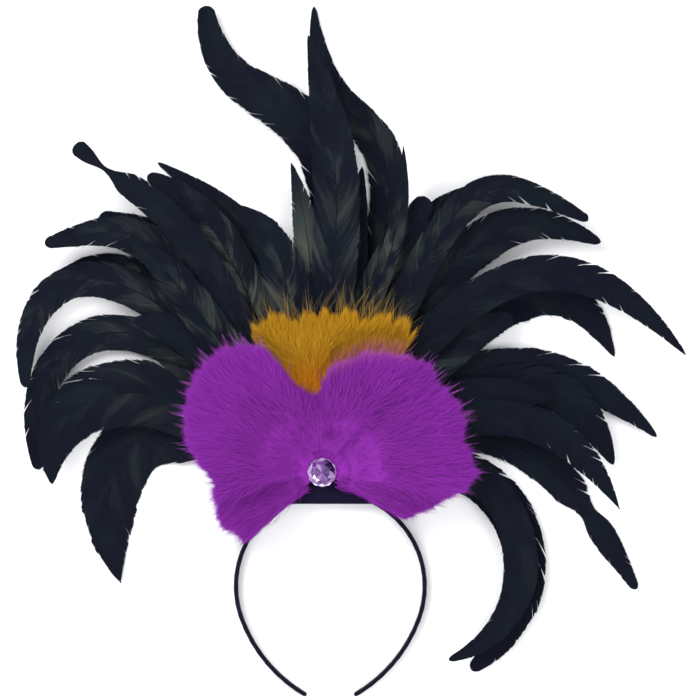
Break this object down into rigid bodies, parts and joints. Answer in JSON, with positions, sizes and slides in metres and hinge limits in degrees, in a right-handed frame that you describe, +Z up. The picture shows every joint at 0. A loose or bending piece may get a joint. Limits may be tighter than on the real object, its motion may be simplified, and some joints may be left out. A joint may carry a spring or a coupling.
{
  "type": "carnival feather headdress",
  "caption": "Fan of long curled black rooster feathers on a hair band, with purple and orange marabou tufts and a round cut stone at its middle.",
  "frame": {"origin": "on the lower rim of the hair band, at its crown, in the middle of its thickness; the table is at z = 0", "axes": "the part lies on its back: +Z up off the table, out of the front of the headdress; +Y from the head opening towards the feather tips; +X to the right of someone who looks down at it"},
  "size_m": [0.4462, 0.4634, 0.0562],
  "materials": {
    "satin": "black satin ribbon wound over a plastic band",
    "felt": "matt black felt",
    "coque": "black rooster tail feather with a green and blue sheen",
    "marabou_orange": "orange yellow marabou down",
    "marabou_purple": "purple marabou down",
    "acrylic_stone": "clear cut acrylic with a mirrored back"
  },
  "bodies": {
    "root": {"head_band": "satin", "felt_patch": "felt", "feather_left_1": "coque", "feather_left_2": "coque", "feather_left_3": "coque", "feather_left_4": "coque", "feather_left_5": "coque", "feather_left_6": "coque", "feather_left_7": "coque", "feather_left_8": "coque", "feather_left_9": "coque", "feather_left_10": "coque", "feather_left_11": "coque", "feather_left_12": "coque", "feather_left_13": "coque", "feather_crest_1": "coque", "feather_crest_2": "coque", "feather_crest_3": "coque", "feather_crest_4": "coque", "feather_crest_5": "coque", "feather_crest_6": "coque", "feather_right_1": "coque", "feather_right_2": "coque", "feather_right_3": "coque", "feather_right_4": "coque", "feather_right_5": "coque", "feather_right_6": "coque", "feather_right_7": "coque", "feather_right_8": "coque", "feather_right_9": "coque", "feather_right_10": "coque", "feather_right_11": "coque", "feather_right_12": "coque", "feather_right_13": "coque", "feather_right_14": "coque", "marabou_rear": "marabou_orange", "marabou_left": "marabou_purple", "marabou_right": "marabou_purple", "stone": "acrylic_stone"}
  },
  "joints": []
}
